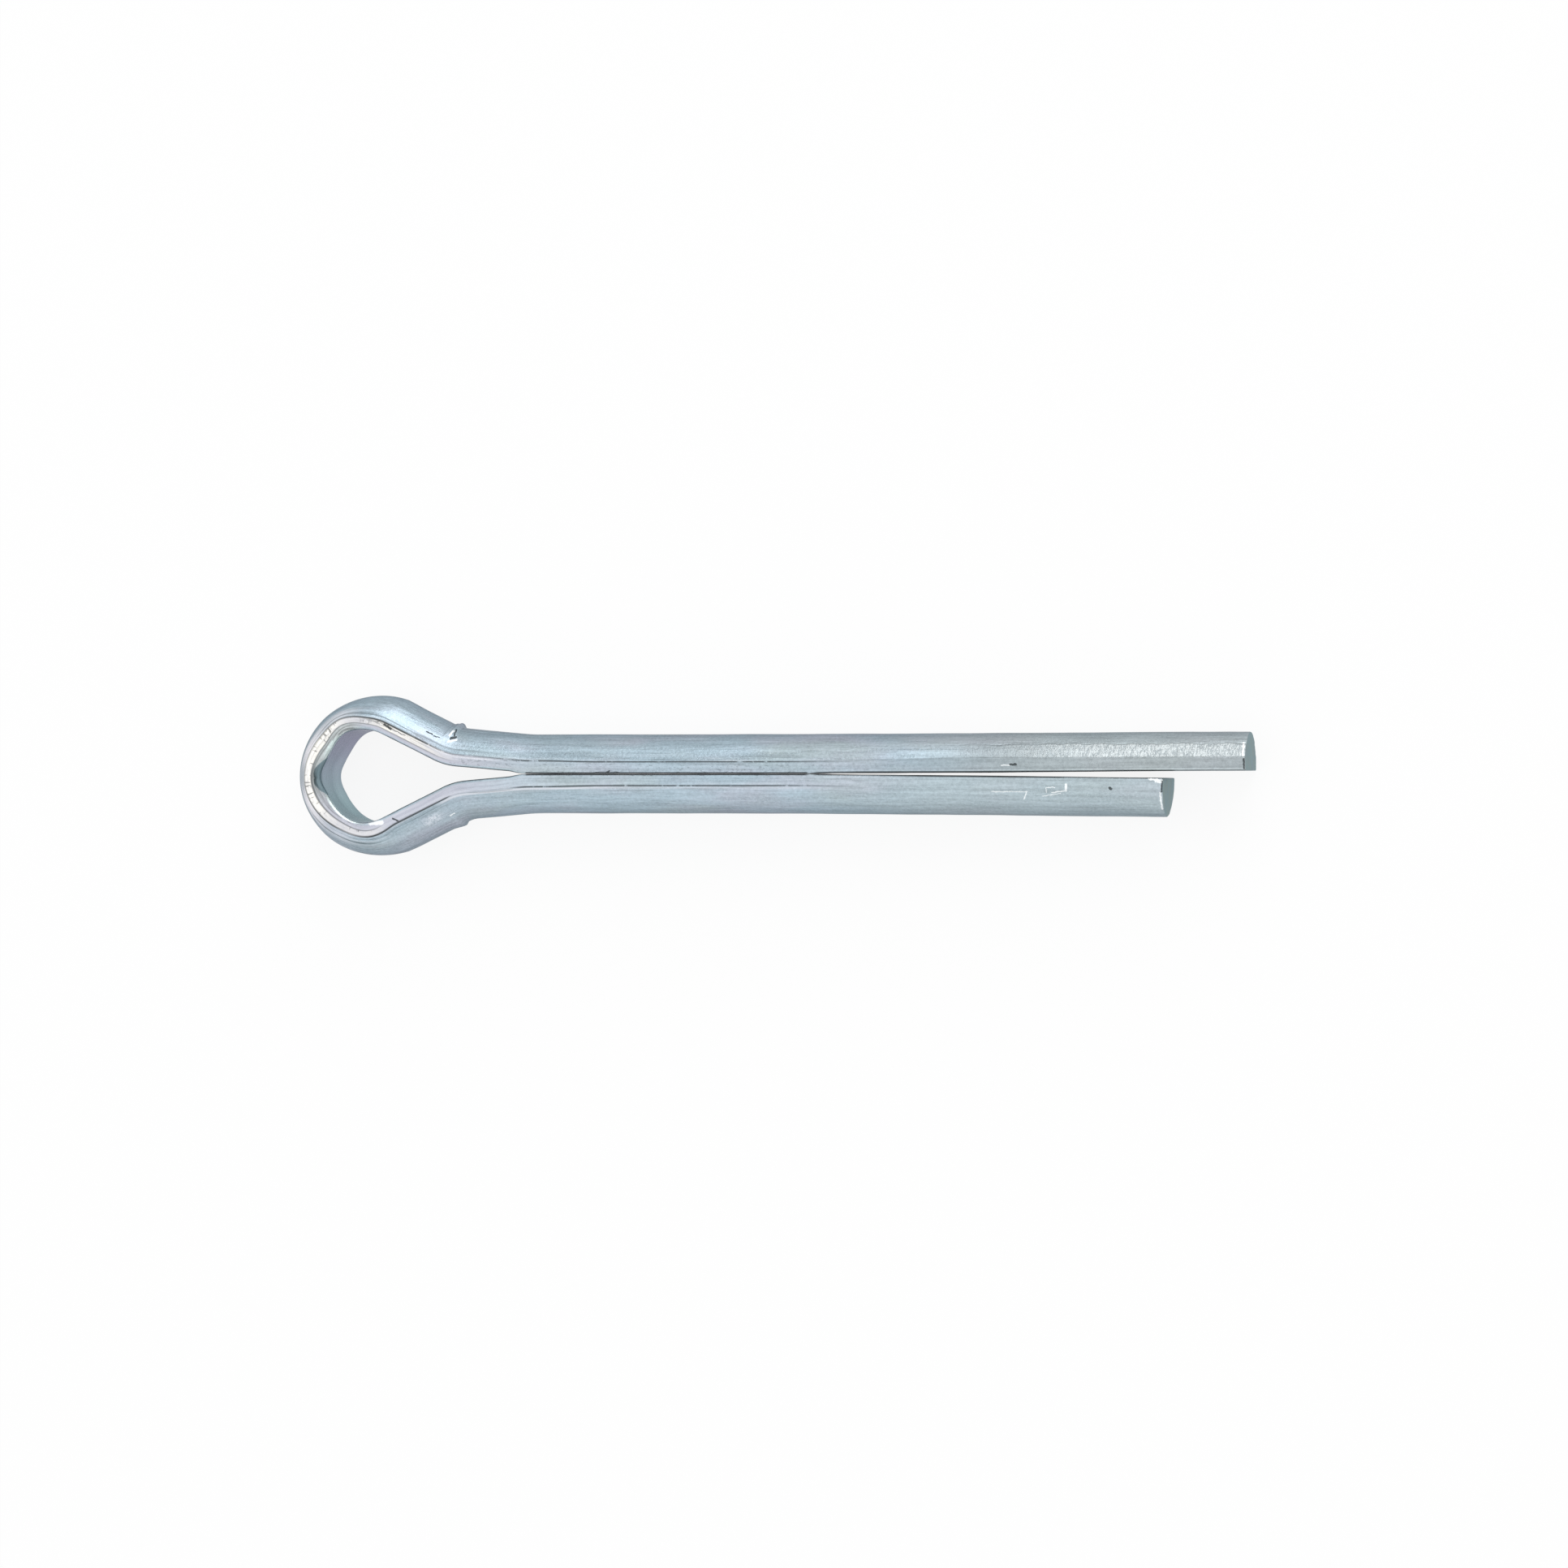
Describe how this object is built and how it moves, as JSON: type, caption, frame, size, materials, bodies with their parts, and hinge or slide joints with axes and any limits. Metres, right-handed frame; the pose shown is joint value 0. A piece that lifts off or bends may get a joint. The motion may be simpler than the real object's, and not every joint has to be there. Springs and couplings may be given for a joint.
{
  "type": "cotter pin",
  "caption": "Split pin of half-round steel wire with a round eye, closed legs that form a round shank, and one leg longer than the other.",
  "frame": {"origin": "on the shank's axis, where the two legs close behind the eye", "axes": "+X along the shank from the eye to the leg ends, +Y in the eye's plane towards the longer leg, +Z across the wire, so that the pin lies on its side as it would come to rest"},
  "size_m": [0.0442, 0.0074, 0.0034],
  "materials": {
    "zinc_plated_steel": "satin"
  },
  "bodies": {
    "root": {"cotter_pin": "zinc_plated_steel"}
  },
  "joints": []
}
